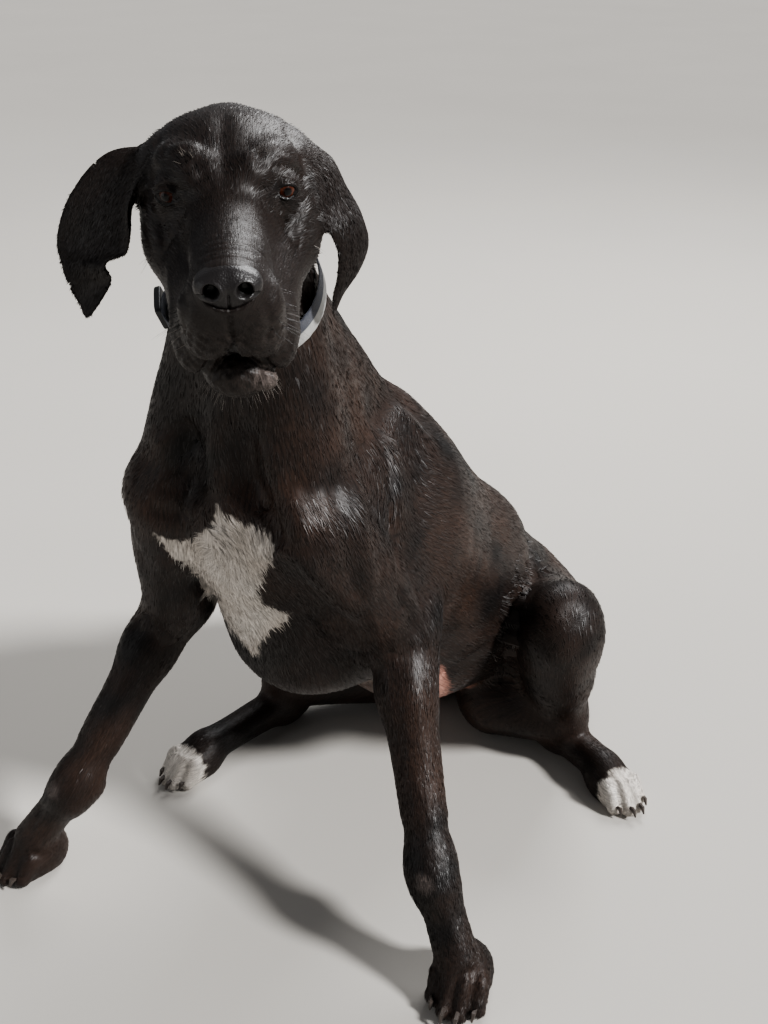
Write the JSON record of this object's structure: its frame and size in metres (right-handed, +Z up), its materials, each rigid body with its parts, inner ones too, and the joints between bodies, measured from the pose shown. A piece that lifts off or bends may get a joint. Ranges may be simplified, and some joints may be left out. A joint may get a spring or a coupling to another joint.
{
  "type": "great dane, sitting, life-size still model",
  "caption": "Adult short-haired black great dane with a white breast patch, sitting with splayed forelegs and the head turned to its left, wearing a flat collar.",
  "frame": {"origin": "on the floor, below the middle of the plan outline", "axes": "+Z up, the body faces -Y, the dog's left side is +X"},
  "size_m": [0.6777, 0.9946, 0.9477],
  "materials": {
    "coat": "satin",
    "nose_leather": "gloss",
    "eye": "gloss",
    "claw": "satin",
    "webbing": "matte",
    "buckle": "matte",
    "ring": "polished"
  },
  "bodies": {
    "root": {"head": "coat", "lower_jaw": "coat", "ear_left": "coat", "ear_right": "coat", "chest": "coat", "abdomen": "coat", "rump": "coat", "neck": "coat", "tail_base": "coat", "tail_tip": "coat", "upper_arm_left": "coat", "shoulder_left": "coat", "forearm_left": "coat", "front_paw_left": "coat", "thigh_left": "coat", "shin_left": "coat", "hind_foot_left": "coat", "eye_left": "eye", "upper_arm_right": "coat", "shoulder_right": "coat", "forearm_right": "coat", "front_paw_right": "coat", "thigh_right": "coat", "shin_right": "coat", "hind_foot_right": "coat", "eye_right": "eye", "nose": "nose_leather", "claw_front_left_1": "claw", "claw_front_left_2": "claw", "claw_front_left_3": "claw", "claw_front_left_4": "claw", "claw_front_right_1": "claw", "claw_front_right_2": "claw", "claw_front_right_3": "claw", "claw_front_right_4": "claw", "claw_hind_left_1": "claw", "claw_hind_left_2": "claw", "claw_hind_left_3": "claw", "claw_hind_left_4": "claw", "claw_hind_right_1": "claw", "claw_hind_right_2": "claw", "claw_hind_right_3": "claw", "claw_hind_right_4": "claw", "collar_strap": "webbing", "collar_buckle": "buckle", "collar_ring": "ring"}
  },
  "joints": []
}
